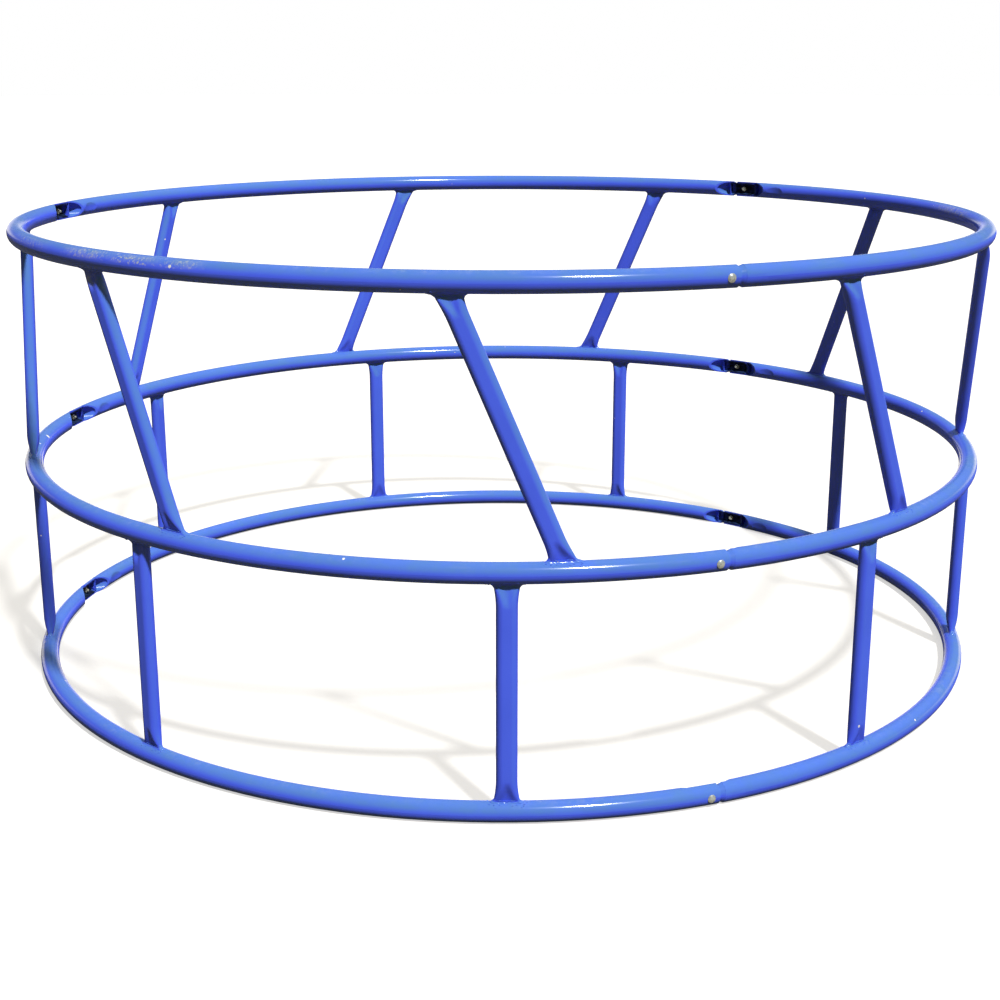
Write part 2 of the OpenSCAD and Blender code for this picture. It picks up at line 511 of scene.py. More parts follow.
def blue_paint():
    """Glossy blue powder coat, painted paler on faces turned to the key light, dusty on top,
    scuffed along the top rail, chipped, and near-black in the dishes from painted shade with some
    dirt.
    """
    c = finish()
    f = Finish("blue_powder_coat")
    p = f.place
    x, y, z = f.node("ShaderNodeSeparateXYZ", {}, {0: p}, out=(0, 1, 2))
    normal = f.node("ShaderNodeNewGeometry", out="Normal")
    east, north, up = f.node("ShaderNodeSeparateXYZ", {}, {0: normal}, out=(0, 1, 2))

    # Along the ring, out from its centre and up: streaks follow the rails in these
    along = y.math("ARCTAN2", x) * ring_r()
    out = (x * x + y * y).math("SQRT")
    ring_place = f.node(
        "ShaderNodeCombineXYZ", {},
        {0: along * STREAK_LONG, 1: out * STREAK_FINE, 2: z * STREAK_FINE})

    cloud = f.noise(p, *CLOUDS)
    colour = f.mix(cloud.over(0.35, 0.70), c.paint_deep, c.paint)

    # Painted light: faces turned to the key light are painted paler, in patches
    sunlit_share = f.measure("DOT_PRODUCT", normal, SUN_SIDE).over(*SUNLIT_RISE)
    sunlit_share = sunlit_share * (0.72 + 0.28 * f.noise(p, *SUNLIT_PATCHES).over(0.30, 0.75))
    colour = f.mix(sunlit_share, colour, c.sunlit_paint)

    dust = up.over(*DUST_RISE) * f.noise(p, *DUST_GRAIN).over(0.42, 0.75)
    dust = dust * f.noise(p, *DUST_DRIFTS).over(0.35, 0.70)
    colour = f.mix(dust * DUST_COVER, colour, c.dust)

    streak = f.noise(ring_place, *STREAKS).over(0.56, 0.70)
    worn = greatest(*(
        f.measure("DISTANCE", p, centre).over(reach, reach * 0.25) * strength
        for centre, reach, strength in SCUFFS))
    specks = f.noise(p, *SPECKS).over(0.52, 0.60) * (0.65 + 0.35 * streak)
    haze = f.noise(p, *HAZE).over(0.36, 0.66) * HAZE_COVER
    scuff = worn * greatest(specks, haze) * up.over(*RUB_RISE) * up.over(*RUB_FALL)
    hairline = streak * f.noise(p, *STREAK_PATCHES).over(0.60, 0.78) * HAIRLINE_COVER
    scuff = (scuff + hairline).math("MINIMUM", 1.0)
    colour = f.mix(scuff, colour, c.dust)

    tint, from_middle = f.node(
        "ShaderNodeTexVoronoi", {}, {"Vector": p, "Scale": CHIP_CELLS}, out=("Color", "Distance"))
    chance, growth = f.node("ShaderNodeSeparateColor", {}, {0: tint}, out=(0, 1))
    size = CHIP_SIZE + CHIP_GROWTH * growth
    ragged = from_middle + (f.noise(p, *CHIP_EDGE) - 0.5) * 0.05
    chip = chance.over(*CHIP_CHANCE) * (size - ragged).over(0.0, 0.012)
    for centre, reach in CHIPS:
        ragged = (f.noise(p, *MARK_EDGE) - 0.5) * (reach * 0.7)
        edge = f.measure("DISTANCE", p, centre) + ragged
        chip = greatest(chip, edge.over(reach, reach * 0.8))
    colour = f.mix(chip, colour, c.primer)

    # Painted shade with some dirt in the dishes: near-black where the wall lies well inside the
    # round of the tube and looks inward
    off_level = least(*((z - rail_z(i)).math("ABSOLUTE") for i in range(len(LEVELS))))
    inward = ring_r() - out
    off_middle = (inward * inward + off_level * off_level).math("SQRT")
    deep = off_middle.over(*(RAIL_D / 2 - depth for depth in DISH_DEPTH))
    in_rail = off_level.over(RAIL_D / 2 + 0.001, RAIL_D / 2)
    past = (sizes().joint_turn - along / ring_r()).math("FLOORED_MODULO", PANEL_TURN) * ring_r()
    from_bolt = least(past, PANEL_TURN * ring_r() - past)
    near = (from_bolt + (f.noise(p, *SHADE_AND_DIRT_EDGE) - 0.5) * SHADE_AND_DIRT_RAGGED).over(*SHADE_AND_DIRT_REACH)
    outward = (east * x + north * y) / out
    dirt_and_shade = deep * in_rail * near * outward.over(*DISH_SIDE)
    dirt_and_shade = dirt_and_shade * (0.80 + 0.20 * f.noise(p, *SHADE_AND_DIRT_GRAIN).over(0.30, 0.60))
    colour = f.mix(dirt_and_shade * SHADE_AND_DIRT_COVER, colour, c.soil_and_shade)

    # Shallow mark of the press beyond each cup's dish, on the rail's inner face
    reach = ((past - PRESS_AT) / PRESS_LONG).math("POWER", 2.0)
    reach = reach + (off_level / PRESS_HIGH).math("POWER", 2.0)
    press = (1.0 - reach).math("MAXIMUM", 0.0) * inward.over(0.002, 0.010)
    dent = f.bump(press * -PRESS_DEEP, 1.0, 1.0)
    height = f.noise(p, *PEEL) * 0.35 + f.noise(p, *RIPPLE) * 0.65 - chip * 0.9

    # The gloss is a clear layer over the colour, dulled by dust, wear, the dirt and painted shade
    # of the dishes, and the dirt of undersides
    gloss = 0.05 + 0.95 * up.over(*GLOSS_RISE)
    clean = (1.0 - dust * 0.5 - scuff * 0.8 - chip - dirt_and_shade).math("MAXIMUM", 0.0)
    f.set(
        Base_Color=colour,
        Roughness=0.50 + cloud * 0.10 + dust * 0.25 + scuff * 0.25,
        Coat_Weight=gloss * clean,
        Normal=f.bump(height, 0.10, 0.0006, Normal=dent),
        Coat_Roughness=0.14,
        Coat_IOR=1.4,
        Specular_IOR_Level=0.0,
    )
    return f.material


def zinc_plate():
    """Weathered zinc, with faint mottling and dull handling marks."""
    c = finish()
    f = Finish("bright_zinc")
    p = f.place
    mottle = f.noise(p, *MOTTLE).over(0.35, 0.70)
    smudge = f.noise(p, *SMUDGES).over(0.48, 0.70)
    yellow = (c.zinc[0] * 0.98, c.zinc[1] * 0.95, c.zinc[2] * 0.80)
    colour = f.mix(mottle * 0.35, c.zinc, yellow)
    colour = f.mix(smudge * 0.75, colour, c.grime)
    f.set(
        Base_Color=colour,
        Metallic=0.38 - smudge * 0.20,
        Roughness=0.34 + mottle * 0.12 + smudge * 0.20,
        Normal=f.bump(f.noise(p, *ZINC_GRAIN), 0.15, 0.0002),
    )
    return f.material


def finish_of(name, maker):
    """A finish by its name, made at its first use."""
    return bpy.data.materials.get(name) or maker()


def paint():
    return finish_of("blue_powder_coat", blue_paint)


def zinc():
    return finish_of("bright_zinc", zinc_plate)


# Pressed bars

# Cuts across each flat of a bar
BAR_CUTS = 10
# Where along a pinched end the dimple is deepest and how far it reaches from there
DIMPLE_AT, DIMPLE_REACH = 0.36, 0.60


def oval_w(t):
    """Width of the bar tube once it is pressed to thickness t, at an unchanged girth."""
    return (math.pi * sizes().bar_d - (math.pi - 2) * t) / 2


def bar_shape(h, lean_len):
    """Half length, lean and twist of a bar between two rails whose centres are h apart."""
    s = sizes()
    clear_h = h - RAIL_D - 2 * s.root_gap
    lean = math.atan(lean_len / clear_h)
    twist = math.asin(lean_len / 2 / ring_r())
    return clear_h / math.cos(lean) / 2, lean, twist


def pinch_at(along, lean, twist):
    """Thickness, width, slope and twist of a pinched end at a distance from its weld."""
    s = sizes()
    u = min(along / s.pinch_len, 1.0)
    ease = u * (2 - u)
    t = s.pinch_t + (s.bar_t - s.pinch_t) * ease
    slope = -lean * (1 - ease)
    return t, oval_w(t) / math.cos(slope), slope, twist * (1 - ease)


def start_oval(name, corners, cuts, t, w, z):
    """A circle pressed to a flat oval, thick along X and wide along Y, with its flats cut up."""
    only()
    bpy.ops.mesh.primitive_circle_add(
        vertices=corners, radius=t / 2, location=(0, 0, z), rotation=(0, 0, math.pi / corners))
    piece = start_piece(name)
    press_ring(0, corners, 0, (t, t), (t, w), z)
    end = flat_end(corners, t, w) * 1.01
    pick(lambda v: abs(v.co.y) < end)
    bpy.ops.mesh.subdivide(number_cuts=cuts)
    return piece


def flat_end(corners, t, w):
    """How far the flats of an oval run from its middle."""
    return (w - t) / 2 + t / 2 * math.sin(math.pi / corners)


def press_ring(first, corners, cuts, old, new, z):
    """Presses a ring of corners from one flat oval to the next: its flats, then each round end."""
    (t0, w0), (t1, w1) = old, new
    b = bmesh.from_edit_mesh(bpy.context.object.data)
    b.verts.ensure_lookup_table()
    ring = {i: b.verts[i].co.y for i in range(first, first + corners + 2 * cuts)}
    limit = flat_end(corners, t0, w0) * cuts / (cuts + 1)
    flats = {i for i, y in ring.items() if abs(y) < limit}
    grow = t1 / t0
    if flats:
        pick(lambda v: v.index in flats)
        resize((grow, flat_end(corners, t1, w1) / flat_end(corners, t0, w0), 1), (0, 0, z))
    for side in (1, -1):
        end = {i for i, y in ring.items() if i not in flats and y * side > 0}
        pick(lambda v: v.index in end)
        c0, c1 = side * (w0 - t0) / 2, side * (w1 - t1) / 2
        resize((grow, grow, 1), (0, c0, z))
        move((0, c1 - c0, 0))


def dimple_share(off):
    """Share of the dimple's depth, from 1 at its middle to 0 at its rim."""
    return max(0.0, 1 - off**2) ** 2


def model_bar(name, h, lean_len):
    """One bar on the ring's X axis: an end is drawn up ring by ring, turned over and bridged."""
    s = sizes()
    half, lean, twist = bar_shape(h, lean_len)
    corners, rows = s.ring_corners, s.pinch_rows
    n = corners + 2 * BAR_CUTS
    step = s.pinch_len / rows
    t, w, _, _ = pinch_at(0, lean, twist)
    piece = start_oval(name, corners, BAR_CUTS, t, w, -half)
    for k in range(1, rows + 1):
        pick(lambda v: (k - 1) * n <= v.index < k * n)
        extrude((0, 0, step))
        new_t, new_w, _, _ = pinch_at(k * step, lean, twist)
        press_ring(k * n, corners, BAR_CUTS, (t, w), (new_t, new_w), k * step - half)
        t, w = new_t, new_w
    for k in range(rows):
        t, w, slope, turn = pinch_at(k * step, lean, twist)
        centre = (0, 0, k * step - half)
        deep = s.dimple * dimple_share((k / rows - DIMPLE_AT) / DIMPLE_REACH)
        column = flat_end(corners, t, w) * 2 / (BAR_CUTS + 1)
        for j in range(BAR_CUTS // 2):
            pick(lambda v: k * n <= v.index < (k + 1) * n
                 and j <= abs(v.co.y) / column < j + 1)
            share = dimple_share((2 * j + 1) / (BAR_CUTS + 1))
            resize((1 - 2 * deep * share / t, 1, 1), centre)
        pick(lambda v: k * n <= v.index < (k + 1) * n)
        rotate(turn, "Z", centre)
        rotate(slope, "X", centre)
    whole = corner_count()
    bpy.ops.mesh.select_all(action="SELECT")
    bpy.ops.mesh.duplicate()
    rotate(math.pi, "X")
    rings = range(rows * n, whole), range(whole + rows * n, 2 * whole)
    pick(lambda v: any(v.index in r for r in rings))
    bpy.ops.mesh.bridge_edge_loops()
    for first in (0, whole):
        pick(lambda v: first <= v.index < first + n)
        bpy.ops.mesh.edge_face_add()
    end_piece(60)
    middle = Matrix.Translation((ring_r() * math.cos(twist), 0, h / 2))
    settle(piece, middle @ Matrix.Rotation(lean, 4, "X"))
    return piece


def bar_place(panel, bar, level):
    """Place of a bar that stands on the rail of a level."""
    turn = Matrix.Rotation(bar_turn(panel, bar), 4, "Z")
    return Matrix.Translation((0, 0, rail_z(level))) @ turn


def bar_rise(level):
    """Height from one rail's middle to the next."""
    return rail_z(level + 1) - rail_z(level)


def stand_bars(kind, level, lean_len):
    """Models one bar of a kind and stands a copy for each of the nine nodes."""
    pattern = model_bar(kind + "_pattern", bar_rise(level), lean_len)
    for p, letter in enumerate(PANELS):
        for b in BARS:
            tube = copy_of(pattern, f"{kind}_tube_{letter}{b}", bar_place(p, b, level))
            dress(tube, paint(), PAINT_SLOT, f"panel_{letter}_{kind}_{b}")
    drop(pattern)


class FEEDER_OT_rails(bpy.types.Operator):
    """Paints the nine rails"""

    bl_idname = "feeder.rails"
    bl_label = "Paint the rails"

    def execute(self, context):
        for letter in PANELS:
            for level in LEVELS:
                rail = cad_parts[f"panel_{letter}_{level}_rail"]
                rail.data.materials.clear()
                rail.data.materials.append(paint())
        return {"FINISHED"}


class FEEDER_OT_uprights(bpy.types.Operator):
    """Presses the nine uprights between the bottom and middle rails"""

    bl_idname = "feeder.uprights"
    bl_label = "Press the uprights"

    def execute(self, context):
        stand_bars("upright", 0, 0.0)
        return {"FINISHED"}


class FEEDER_OT_head_bars(bpy.types.Operator):
    """Presses the nine slanted head bars between the middle and top rails"""

    bl_idname = "feeder.head_bars"
    bl_label = "Press the head bars"

    def execute(self, context):
        stand_bars("head_bar", 1, sizes().head_lean)
        return {"FINISHED"}


# Weld beads

BEAD_CORNERS = 60
BEAD_CUTS = 30
# Hollow outline of a bead from the bar down to the rail: how far out and how far up, in legs
BEAD = (
    (-0.10, 1.12), (0.03, 0.92), (0.10, 0.68), (0.21, 0.44),
    (0.40, 0.24), (0.66, 0.10), (1.00, 0.0), (1.04, -0.30),
)
# A bead is thinner on the broad faces of a bar than at its edges
FACE_SHARE, FACE_LOSS = 0.58, 0.0012
# It climbs less on the broad faces: share of its width from the middle, and share of height lost
FACE_DROPS = ((0.42, 0.20), (0.38, 0.20), (0.33, 0.22))
# Extra toe where a leaning bar stands open to the rail, and the share of the width where it starts
OPEN_TOE, OPEN_FROM = 0.012, 0.35
# Bands in which a bead's sides are lowered onto the round of the rail
FALL_BANDS = 16
# Size of the lumps along a bead, and the level that they swell and sink from
LUMP_SIZE, LUMP_LEVEL = 0.0036, 0.4
# Size of a drop of spatter, and how it is flattened across, along and up
SPATTER_SIZE = 0.0014
SPATTER_FLAT = (1.15, 1.3, 0.62)
# Spatter beside a bead: along the rail, across it, and size
SPATTER = (
    (0.036, 0.0085, 1.1), (0.034, 0.0120, 0.9), (0.031, 0.0150, 0.7), (0.012, 0.0125, 0.9),
    (0.020, 0.0105, 1.0), (-0.014, 0.0115, 0.8), (-0.026, 0.0110, 1.0), (-0.035, 0.0090, 0.9),
    (0.041, 0.0040, 0.7), (-0.022, 0.0165, 0.6), (0.005, 0.0170, 0.5), (-0.039, -0.0080, 0.9),
    (0.006, -0.0125, 0.8), (0.027, -0.0110, 0.9), (-0.017, -0.0130, 0.7), (0.037, -0.0060, 0.8),
)


def bead_ring(k, lean, twist):
    """Thickness and width of one ring of a bead, and its height over the foot of the bar."""
    leg = sizes().weld_leg
    out, up = BEAD[k]
    t, w, _, _ = pinch_at(max(up, 0.0) * leg, lean, twist)
    face = max(FACE_SHARE * out * leg - FACE_LOSS, -FACE_LOSS)
    return (t + 2 * face, w + 2 * out * leg), up * leg


def model_bead(name, h, lean_len):
    """Weld bead round a bar's foot on the X axis of the ring, laid onto a rail at z = 0."""
    s = sizes()
    _, lean, twist = bar_shape(h, lean_len)
    n = BEAD_CORNERS + 2 * BEAD_CUTS
    base = RAIL_D / 2 + s.root_gap
    old, up = bead_ring(0, lean, twist)
    piece = start_oval(name, BEAD_CORNERS, BEAD_CUTS, *old, base + up)
    for k in range(1, len(BEAD)):
        new, new_up = bead_ring(k, lean, twist)
        pick(lambda v: (k - 1) * n <= v.index < k * n)
        extrude((0, 0, new_up - up))
        press_ring(k * n, BEAD_CORNERS, BEAD_CUTS, old, new, base + new_up)
        old, up = new, new_up
    # Lean the upper rings with the bar, and lower the bead's sides onto the round of the rail
    last = len(BEAD) - 1
    for k in range(last + 1):
        (t, w), up = bead_ring(k, lean, twist)
        pick(lambda v: k * n <= v.index < (k + 1) * n)
        move((0, -math.tan(lean) * max(up, 0.0), 0))
        pick(lambda v: k * n <= v.index < (k + 1) * n and v.co.y > OPEN_FROM * w)
        move((0, OPEN_TOE * math.tan(lean) * max(BEAD[k][0], 0.0), 0))
        for share, loss in FACE_DROPS:
            pick(lambda v: k * n <= v.index < (k + 1) * n and abs(v.co.y) < share * w)
            move((0, 0, -loss * max(up, 0.0)))
        edge = t / 2
        for band in range(1, FALL_BANDS + 1):
            low = edge * (band - 0.5) / FALL_BANDS
            high = edge * (band + 0.5) / FALL_BANDS
            pick(lambda v: k * n <= v.index < (k + 1) * n and low < abs(v.co.x) <= high)
            across = edge * band / FALL_BANDS
            fall = RAIL_D / 2 - math.sqrt((RAIL_D / 2) ** 2 - across**2)
            move((0, 0, -fall * min(k / (last - 1), 1.0)))
    for first in (0, last * n):
        pick(lambda v: first <= v.index < first + n)
        bpy.ops.mesh.edge_face_add()
    end_piece(80)
    group = piece.vertex_groups.new(name="crown")
    group.add(list(range(2 * n, (last - 1) * n)), 1.0, "REPLACE")
    lumps = bpy.data.textures.new(name + "_lumps", "CLOUDS")
    lumps.noise_scale = LUMP_SIZE
    apply_modifier(
        piece, "DISPLACE", texture=lumps, strength=s.weld_lump, mid_level=LUMP_LEVEL,
        vertex_group="crown", texture_coords="LOCAL")
    drops = []
    for along, across, size in SPATTER:
        only()
        z = math.sqrt((RAIL_D / 2) ** 2 - across**2)
        bpy.ops.mesh.primitive_ico_sphere_add(
            subdivisions=2, radius=SPATTER_SIZE * size, location=(across, along, z))
        drops.append(start_piece(name + "_spatter"))
        bpy.ops.mesh.select_all(action="SELECT")
        resize(SPATTER_FLAT, (across, along, z))
        end_piece()
    piece = joined([piece, *drops], name)
    # The foot of a leaning bar stands half the lean before its middle, on the rail's own curve
    settle(piece, Matrix.Rotation(twist, 4, "Z") @ Matrix.Translation((ring_r(), 0, 0)))
    return piece


def model_beads(name, h, lean_len):
    """Beads at both ends of a bar: the upper one is the lower one turned over."""
    lower = model_bead(name, h, lean_len)
    flip = (Matrix.Translation((0, 0, h / 2)) @ Matrix.Rotation(math.pi, 4, "X")
            @ Matrix.Translation((0, 0, -h / 2)))
    upper = copy_of(lower, name + "_upper", flip)
    return joined([lower, upper], name)


class FEEDER_OT_welds(bpy.types.Operator):
    """Lays the weld beads at both ends of every bar"""

    bl_idname = "feeder.welds"
    bl_label = "Lay the weld beads"

    def execute(self, context):
        kinds = (("upright", 0, 0.0), ("head_bar", 1, sizes().head_lean))
        patterns = [
            (level, model_beads(kind + "_beads", bar_rise(level), lean))
            for kind, level, lean in kinds
        ]
        for p, letter in enumerate(PANELS):
            beads = [
                copy_of(pattern, f"bead_{letter}{b}_{level}", bar_place(p, b, level))
                for level, pattern in patterns
                for b in BARS
            ]
            welds = joined(beads, f"weld_beads_{letter}")
            dress(welds, paint(), PAINT_SLOT)
        for _, pattern in patterns:
            drop(pattern)
        return {"FINISHED"}


# Bolts and nuts

# Upright rim under the dome of a bolt head, and its taper to the seat
HEAD_RIM, HEAD_TAPER = 0.0006, 0.965
HEAD_CORNERS, HEAD_RINGS = 64, 96
# Taper of the square neck to its foot, and the bevel of its edges
NECK_TAPER, NECK_BEVEL = 0.93, 0.0006
# Depth of the thread and half width of its crest, in pitches, and its steps in a turn
THREAD_DEPTH, THREAD_CREST, THREAD_STEPS = 0.55, 0.3, 28
# Core inside the thread: its corners, its share of the depth, and the bevel of its tip
CORE_CORNERS, CORE_SHARE, TIP_BEVEL = 32, 1.02, 0.0007
# Distance at which corners are merged
MERGE = 1e-5
# Radius of a nut's round face, in widths across flats, and the angle of its chamfer
NUT_FACE, NUT_CHAMFER = 0.475, math.radians(30)
NUT_CORNERS, BORE_CORNERS = 72, 48
# Gap round the bolt in the nut
BORE_GAP = 0.0001


def joint_places():
    """A frame at every bolted joint, with Z outward along the bolt."""
    s = sizes()
    for p in range(len(PANELS)):
        turn = Matrix.Rotation(s.joint_turn + PANEL_TURN * p, 4, "Z")
        for level in range(len(LEVELS)):
            yield (turn @ Matrix.Translation((ring_r(), 0, rail_z(level)))
                   @ Matrix.Rotation(math.pi / 2, 4, "Y"))


def model_bolt():
    """Carriage bolt with its head's seat at z = 0: domed head, square neck and threaded shank."""
    s = sizes()
    cap = s.head_h - HEAD_RIM
    dome_r = (s.head_d**2 / 4 + cap**2) / (2 * cap)
    only()
    bpy.ops.mesh.primitive_uv_sphere_add(
        segments=HEAD_CORNERS, ring_count=HEAD_RINGS, radius=dome_r,
        location=(0, 0, s.head_h - dome_r))
    head = start_piece("bolt_head")
    bpy.ops.mesh.bisect(plane_co=(0, 0, HEAD_RIM), plane_no=(0, 0, 1), clear_inner=True)
    pick(lambda v: v.co.z < HEAD_RIM + 1e-6)
    extrude((0, 0, -HEAD_RIM * 0.6))
    extrude((0, 0, -HEAD_RIM * 0.4))
    resize((HEAD_TAPER, HEAD_TAPER, 1), (0, 0, 0))
    bpy.ops.mesh.edge_face_add()
    end_piece(50)

    only()
    bpy.ops.mesh.primitive_cube_add(size=1, location=(0, 0, -s.neck_h / 2))
    neck = start_piece("bolt_neck")
    bpy.ops.mesh.select_all(action="SELECT")
    resize((s.neck_w, s.neck_w, s.neck_h), (0, 0, -s.neck_h / 2))
    pick(lambda v: v.co.z < -s.neck_h / 2)
    resize((NECK_TAPER, NECK_TAPER, 1), (0, 0, -s.neck_h))
    bpy.ops.mesh.select_all(action="SELECT")
    bpy.ops.mesh.bevel(offset=NECK_BEVEL, segments=2, affect="EDGES")
    end_piece()

    # One tooth of the thread, drawn as an open line and screwed down the shank
    depth = s.pitch * THREAD_DEPTH
    crest = s.bolt_d / 2
    turns = int((s.bolt_len - s.neck_h - s.pitch) / s.pitch)
    only()
    bpy.ops.mesh.primitive_plane_add(size=s.pitch, location=(0, 0, 0))
    thread = start_piece("bolt_thread")
    bpy.ops.mesh.delete(type="ONLY_FACE")
    rotate(math.pi / 2, "X")
    pick(lambda v: v.co.x < 0)
    bpy.ops.mesh.delete(type="VERT")
    pick(lambda v: True)
    bpy.ops.mesh.subdivide(number_cuts=3)
    pick(lambda v: abs(v.co.z) < s.pitch * THREAD_CREST)
    move((depth, 0, 0))
    pick(lambda v: True)
    move((crest - depth - s.pitch / 2, 0, s.pitch - s.bolt_len))
    bpy.ops.object.mode_set(mode="OBJECT")
    apply_modifier(
        thread, "SCREW", axis="Z", angle=2 * math.pi, screw_offset=s.pitch, iterations=turns,
        steps=THREAD_STEPS, render_steps=THREAD_STEPS,
        use_merge_vertices=True, merge_threshold=MERGE)
    bpy.ops.object.mode_set(mode="EDIT")
    bpy.ops.mesh.select_all(action="SELECT")
    bpy.ops.mesh.remove_doubles(threshold=MERGE)
    bpy.ops.mesh.fill_holes(sides=0)
    end_piece(35)

    only()
    bpy.ops.mesh.primitive_cylinder_add(
        vertices=CORE_CORNERS, radius=crest - depth * CORE_SHARE,
        depth=s.bolt_len - 2 * HEAD_RIM, location=(0, 0, -s.bolt_len / 2 - HEAD_RIM))
    core = start_piece("bolt_core")
    pick(lambda v: v.co.z < -s.bolt_len * 0.9)
    bpy.ops.mesh.bevel(offset=TIP_BEVEL, segments=2, affect="EDGES")
    end_piece(30)
    bolt = joined([head, neck, thread, core], "carriage_bolt_pattern")
    settle(bolt, Matrix.Translation((0, 0, RAIL_D / 2 + s.seat_gap)))
    return bolt


def model_nut():
    """Hex nut with its seat at z = 0 and the rest below: a hexagon cut by a chamfered round."""
    s = sizes()
    corner = s.nut_af / math.sqrt(3)
    face_r = s.nut_af * NUT_FACE
    chamfer = (corner - face_r) * math.tan(NUT_CHAMFER)
    only()
    bpy.ops.mesh.primitive_cylinder_add(
        vertices=6, radius=corner, depth=s.nut_h, location=(0, 0, -s.nut_h / 2))
    nut = start_piece("hex_nut_pattern")
    end_piece(30)
    only()
    bpy.ops.mesh.primitive_circle_add(vertices=NUT_CORNERS, radius=face_r, location=(0, 0, 0))
    round_cut = start_piece("nut_round")
    bpy.ops.mesh.edge_face_add()
    wide = corner / face_r * 1.002
    for step, grow in ((chamfer, wide), (s.nut_h - 2 * chamfer, 1.0), (chamfer, 1 / wide)):
        extrude((0, 0, -step))
        resize((grow, grow, 1), (0, 0, 0))
    end_piece(30)
    apply_modifier(nut, "BOOLEAN", operation="INTERSECT", object=round_cut, solver="EXACT")
    drop(round_cut)
    only()
    bpy.ops.mesh.primitive_cylinder_add(
        vertices=BORE_CORNERS, radius=s.bolt_d / 2 + BORE_GAP, depth=s.nut_h * 1.5,
        location=(0, 0, -s.nut_h / 2))
    bore = start_piece("nut_bore")
    end_piece()
    apply_modifier(nut, "BOOLEAN", operation="DIFFERENCE", object=bore, solver="EXACT")
    drop(bore)
    only(nut)
    bpy.ops.object.mode_set(mode="EDIT")
    end_piece(20)
    seat = math.sqrt(s.trough_r**2 - s.nut_af**2 / 4) - s.seat_gap
    settle(nut, Matrix.Translation((0, 0, seat)) @ Matrix.Rotation(math.radians(30), 4, "Z"))
    return nut


def fit_joints(pattern, name, node):
    """Puts a copy of a fastener at every joint, joined into the piece that stands for its node."""
    copies = [copy_of(pattern, f"{name}_{i}", place) for i, place in enumerate(joint_places())]
    drop(pattern)
    dress(joined(copies, name), zinc(), ZINC_SLOT, node)


class FEEDER_OT_bolts(bpy.types.Operator):
    """Fits the nine carriage bolts"""

    bl_idname = "feeder.bolts"
    bl_label = "Fit the carriage bolts"

    def execute(self, context):
        fit_joints(model_bolt(), "domed_bolts", "carriage_bolts")
        return {"FINISHED"}


class FEEDER_OT_nuts(bpy.types.Operator):
    """Fits the nine hex nuts"""

    bl_idname = "feeder.nuts"
    bl_label = "Fit the hex nuts"

    def execute(self, context):
        fit_joints(model_nut(), "chamfered_nuts", "hex_nuts")
        return {"FINISHED"}


# Studio

CAMERA_AT = (0.0457, -4.140, 1.499)
CAMERA_LOOK = (-0.01140, 0.9630, -0.2687)
CAMERA_LENS, CAMERA_SENSOR = 57.405, 36
# Distance that the camera sees to, past the edge of the floor
CAMERA_REACH = 200
FLOOR_R, FLOOR_CORNERS = 60, 64
# Share of the floor that is plain white to the camera, with the rest left for the shadow
FLOOR_GLOW = 0.60
# Light that the floor throws up, as dim and warm as bare ground
FLOOR_BOUNCE = (0.22, 0.155, 0.03)
SUN_AT = (2, -3, 5)
SUN_TURN = math.radians(298)
SUN_RISE = math.radians(55)
SUN_STRENGTH = 4.8
SUN_WIDTH = math.radians(4)
# Heights over which the white backdrop goes over to sky, and the low sky to the high one
BACKDROP_RISE = (0.04, 0.11)
SKY_RISE = (0.05, 0.60)
BACKDROP = (1.0, 1.0, 1.0)
# Sky that is seen or mirrored, and the light of the sky high up and low down
SKY_SHOWN = (0.15, 0.24, 0.40)
SKY_HIGH = (0.22, 0.20, 0.15)
SKY_LOW = (0.14, 0.12, 0.05)
# Soft light from behind, where the sun doesn't reach: its side, its edge and its colour
FILL_FROM = (0.33, 0.82, 0.47)
FILL_REACH = (0.55, 0.90)
FILL = (1.85, 1.70, 1.42)


def seen_rays(f):
    """1 for rays that show a thing, straight, mirrored or through glass, and 0 for light rays."""
    return greatest(*f.node(
        "ShaderNodeLightPath", out=("Is Camera Ray", "Is Glossy Ray", "Is Transmission Ray")))


def floor_finish():
    """Floor that keeps the shadow, pale where seen or mirrored, and throws up little light."""
    f = Finish("pale_floor")
    seen = seen_rays(f)
    colour = f.mix(seen, FLOOR_BOUNCE, finish().floor)
    f.set(Base_Color=colour, Roughness=0.9, Specular_IOR_Level=0.0)
    glow = f.node("ShaderNodeEmission", {}, {"Color": (1, 1, 1, 1), "Strength": 1.0})
    matt = Wire(f, f.shader.outputs[0])
    both = f.node("ShaderNodeMixShader", {}, {0: seen * FLOOR_GLOW, 1: matt, 2: glow})
    f.feed(f.tree.nodes["Material Output"].inputs["Surface"], both)
    return f.material


def lay_floor():
    only()
    bpy.ops.mesh.primitive_circle_add(
        vertices=FLOOR_CORNERS, radius=FLOOR_R, fill_type="NGON", location=(0, 0, 0))
    floor = bpy.context.object
    floor.name = "studio_floor"
    floor.data.materials.append(floor_finish())


def hang_sky(scene):
    """White backdrop and sky for rays that show them, and soft light from above and behind."""
    scene.world = bpy.data.worlds.new("studio_sky")
    scene.world.use_nodes = True
    w = Finish.over_tree(scene.world.node_tree)
    back = w.tree.nodes["Background"]
    toward = w.node("ShaderNodeTexCoord", out="Generated")
    height = w.node("ShaderNodeSeparateXYZ", {}, {0: toward}, out=2)
    behind = w.measure("DOT_PRODUCT", toward, FILL_FROM)
    shown = w.mix(height.over(*BACKDROP_RISE), BACKDROP, SKY_SHOWN)
    light = w.mix(height.over(*SKY_RISE), SKY_LOW, SKY_HIGH)
    light = w.mix(behind.over(*FILL_REACH), light, FILL)
    w.feed(back.inputs["Color"], w.mix(seen_rays(w), light, shown))
    w.feed(back.inputs["Strength"], 1.0)


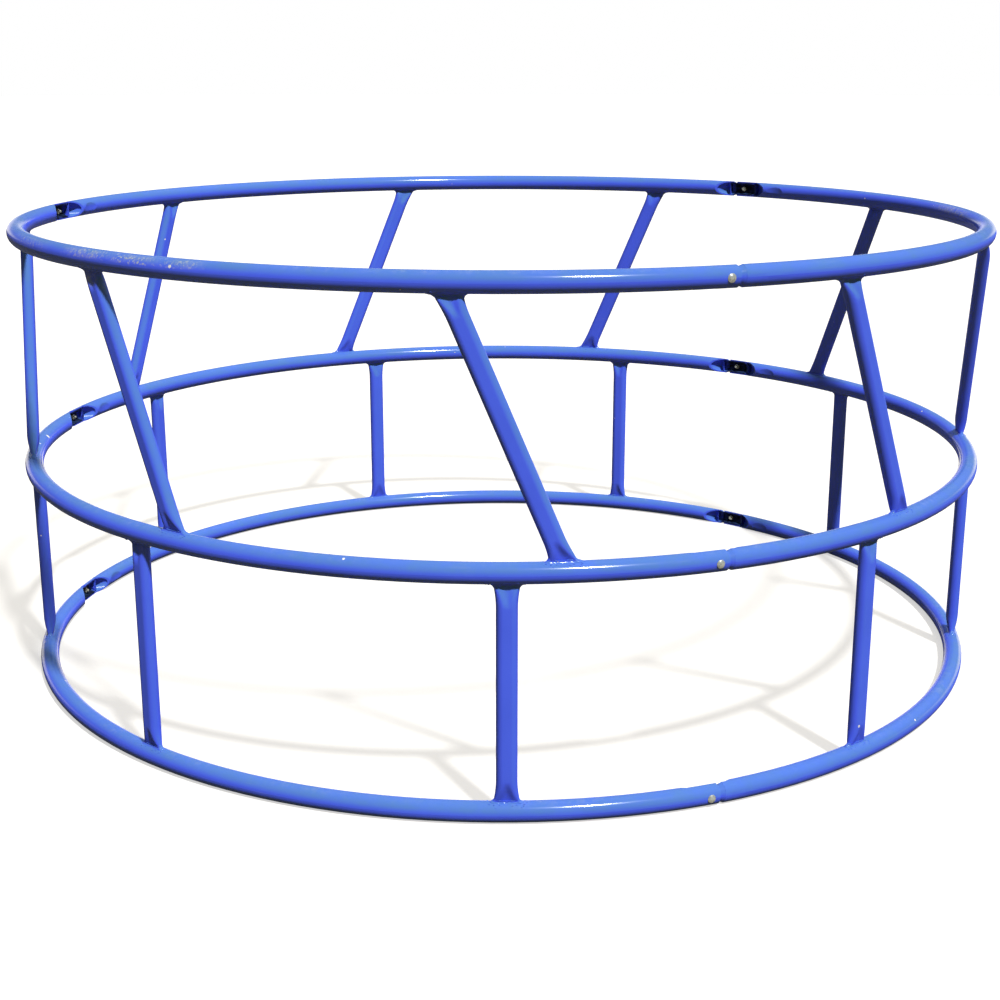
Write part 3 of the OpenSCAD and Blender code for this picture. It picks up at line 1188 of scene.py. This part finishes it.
def raise_sun():
    only()
    bpy.ops.object.light_add(type="SUN", location=SUN_AT)
    sun = bpy.context.object
    sun.name = "key_light"
    sun.data.energy = SUN_STRENGTH
    sun.data.angle = SUN_WIDTH
    to_sun = Vector((
        math.cos(SUN_TURN) * math.cos(SUN_RISE),
        math.sin(SUN_TURN) * math.cos(SUN_RISE),
        math.sin(SUN_RISE),
    ))
    sun.rotation_euler = to_sun.to_track_quat("Z", "Y").to_euler()


def stand_camera(scene):
    bpy.ops.object.camera_add(location=CAMERA_AT)
    camera = bpy.context.object
    camera.name = "photo_view"
    camera.rotation_euler = Vector(CAMERA_LOOK).to_track_quat("-Z", "Y").to_euler()
    camera.data.lens = CAMERA_LENS
    camera.data.sensor_width = CAMERA_SENSOR
    camera.data.clip_end = CAMERA_REACH
    scene.camera = camera


class FEEDER_OT_stage(bpy.types.Operator):
    """Sets up the floor, the light and the camera"""

    bl_idname = "feeder.stage"
    bl_label = "Set up the studio"

    def execute(self, context):
        lay_floor()
        hang_sky(context.scene)
        raise_sun()
        stand_camera(context.scene)
        context.scene.view_settings.view_transform = "Standard"
        return {"FINISHED"}


class FEEDER_PT_panel(bpy.types.Panel):
    """Lists the steps, sizes and colours"""

    bl_idname = "FEEDER_PT_panel"
    bl_label = "Feeder ring"
    bl_space_type = "VIEW_3D"
    bl_region_type = "UI"
    bl_category = "Feeder"

    def draw(self, context):
        for step in STEPS:
            self.layout.operator(step.bl_idname)
        for group in (context.scene.feeder_sizes, context.scene.feeder_finish):
            for name in group.__annotations__:
                self.layout.prop(group, name)


STEPS = (
    FEEDER_OT_rails, FEEDER_OT_uprights, FEEDER_OT_head_bars, FEEDER_OT_welds,
    FEEDER_OT_bolts, FEEDER_OT_nuts, FEEDER_OT_stage,
)
CLASSES = (FeederSizes, FeederFinish, *STEPS, FEEDER_PT_panel)


def register():
    for c in CLASSES:
        bpy.utils.register_class(c)
    bpy.types.Scene.feeder_sizes = PointerProperty(type=FeederSizes)
    bpy.types.Scene.feeder_finish = PointerProperty(type=FeederFinish)


def unregister():
    del bpy.types.Scene.feeder_finish
    del bpy.types.Scene.feeder_sizes
    for c in reversed(CLASSES):
        bpy.utils.unregister_class(c)


def main():
    register()
    bpy.ops.feeder.rails()
    bpy.ops.feeder.uprights()
    bpy.ops.feeder.head_bars()
    bpy.ops.feeder.welds()
    bpy.ops.feeder.bolts()
    bpy.ops.feeder.nuts()
    bpy.ops.feeder.stage()


if __name__ == "__main__":
    main()
